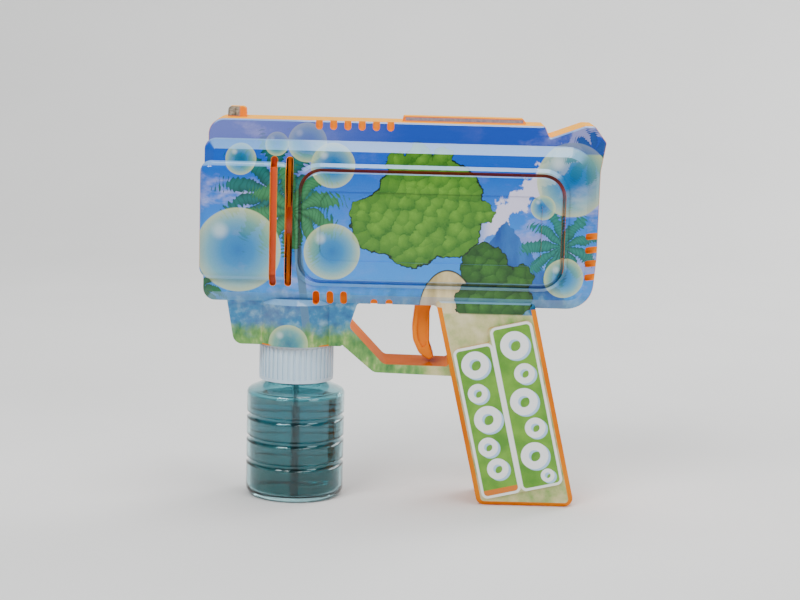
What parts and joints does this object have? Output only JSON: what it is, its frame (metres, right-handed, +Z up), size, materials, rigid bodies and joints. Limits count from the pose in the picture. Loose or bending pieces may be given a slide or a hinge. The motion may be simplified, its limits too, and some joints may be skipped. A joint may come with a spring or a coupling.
{
  "type": "bubble machine",
  "caption": "Pistol-shaped toy bubble machine with a motor fan, a geared roller pump, a trigger and a screw-on bottle.",
  "frame": {"origin": "centre of the bounding box on the ground plane that the bottle and the grip stand on", "axes": "-X towards the muzzle, +Z up, -Y the left side, with the casing's parting plane at Y = 0"},
  "size_m": [0.1849, 0.046, 0.1824],
  "materials": {
    "printed_shell": "glossy printed film over orange ABS",
    "orange_plastic": "moulded, semi-gloss",
    "white_plastic": "moulded, satin",
    "deep_orange": "moulded, satin, seen through the long air slots",
    "grey_plastic": "moulded, satin",
    "gear_plastic": "moulded acetal",
    "collar_plastic": "ribbed polypropylene, satin",
    "bottle_clear": "clear blown PET",
    "solution": "tinted liquid",
    "silicone": "translucent silicone",
    "zinc_steel": "zinc plated",
    "black_plastic": "moulded",
    "switch_red": "moulded",
    "cell_wrap": "printed wrap",
    "circuit_board": "solder mask",
    "led_clear": "water-clear epoxy",
    "wire_sheath": "PVC insulation"
  },
  "bodies": {
    "casing": {"left_casing": "printed_shell", "right_casing": "printed_shell", "casing_screws": "zinc_steel", "muzzle_ring": "orange_plastic", "bubble_nozzle": "white_plastic", "air_duct": "white_plastic", "fan_housing": "deep_orange", "fan_cover": "deep_orange", "motor_can": "zinc_steel", "motor_endbell": "black_plastic", "pump_housing": "grey_plastic", "pump_cover": "white_plastic", "pump_tube": "silicone", "dip_tube": "silicone", "feed_tube": "silicone", "bottle_socket": "white_plastic", "bottle_seal": "silicone", "trigger_pin": "zinc_steel", "trigger_spring": "zinc_steel", "switch_body": "black_plastic", "battery_box": "grey_plastic", "battery_contacts": "zinc_steel", "battery_1": "cell_wrap", "battery_2": "cell_wrap", "battery_3": "cell_wrap", "led_board": "circuit_board", "leds": "led_clear", "wires": "wire_sheath"},
    "trigger": {"trigger": "orange_plastic"},
    "switch_plunger": {"switch_plunger": "switch_red"},
    "motor_rotor": {"fan_impeller": "white_plastic", "motor_shaft": "zinc_steel", "drive_pinion": "gear_plastic"},
    "pump_rotor": {"pump_gear": "gear_plastic"},
    "roller_1": {"pump_roller_1": "white_plastic"},
    "roller_2": {"pump_roller_2": "white_plastic"},
    "roller_3": {"pump_roller_3": "white_plastic"},
    "collar": {"bottle_collar": "collar_plastic"},
    "bottle": {"bottle": "bottle_clear", "bubble_solution": "solution"},
    "battery_cover": {"battery_cover": "orange_plastic", "battery_cover_screw": "zinc_steel"}
  },
  "joints": [
    {"name": "trigger_pull", "type": "hinge", "parent": "casing", "child": "trigger", "pos_m": [0.012, 0, 0.1076], "axis": [0, -1, 0], "range_deg": [0, 8], "stiffness_Nm_per_rad": 0.45, "springref_deg": -6.88, "deforming": ["trigger_spring"]},
    {"name": "switch_press", "type": "slide", "parent": "casing", "child": "switch_plunger", "axis": [1, 0, 0], "range_m": [0, 0.0013]},
    {"name": "motor_spin", "type": "hinge", "parent": "casing", "child": "motor_rotor", "pos_m": [-0.04, 0, 0.1316], "axis": [1, 0, 0], "continuous": true},
    {"name": "pump_spin", "type": "hinge", "parent": "casing", "child": "pump_rotor", "pos_m": [-0.015, 0, 0.1166], "axis": [1, 0, 0], "continuous": true},
    {"name": "roller_1_spin", "type": "hinge", "parent": "pump_rotor", "child": "roller_1", "pos_m": [-0.009, 0, 0.1222], "axis": [1, 0, 0], "continuous": true},
    {"name": "roller_2_spin", "type": "hinge", "parent": "pump_rotor", "child": "roller_2", "pos_m": [-0.009, -0.00485, 0.1138], "axis": [1, 0, 0], "continuous": true},
    {"name": "roller_3_spin", "type": "hinge", "parent": "pump_rotor", "child": "roller_3", "pos_m": [-0.009, 0.00485, 0.1138], "axis": [1, 0, 0], "continuous": true},
    {"name": "collar_turn", "type": "hinge", "parent": "casing", "child": "collar", "pos_m": [-0.048, 0, 0.0636], "axis": [0, 0, 1], "continuous": true},
    {"name": "bottle_off", "type": "slide", "parent": "casing", "child": "bottle", "axis": [0, 0, -1], "range_m": [0, 0.075]},
    {"name": "battery_cover_off", "type": "slide", "parent": "casing", "child": "battery_cover", "axis": [0, 1, 0], "range_m": [0, 0.03]}
  ],
  "couplings": [
    {"joint": "pump_spin", "follows": "motor_spin", "ratio": -0.25},
    {"joint": "switch_press", "follows": "trigger_pull", "m_per_rad": 0.0088},
    {"joint": "roller_1_spin", "follows": "motor_spin", "ratio": 0.71667},
    {"joint": "roller_2_spin", "follows": "motor_spin", "ratio": 0.71667},
    {"joint": "roller_3_spin", "follows": "motor_spin", "ratio": 0.71667}
  ]
}
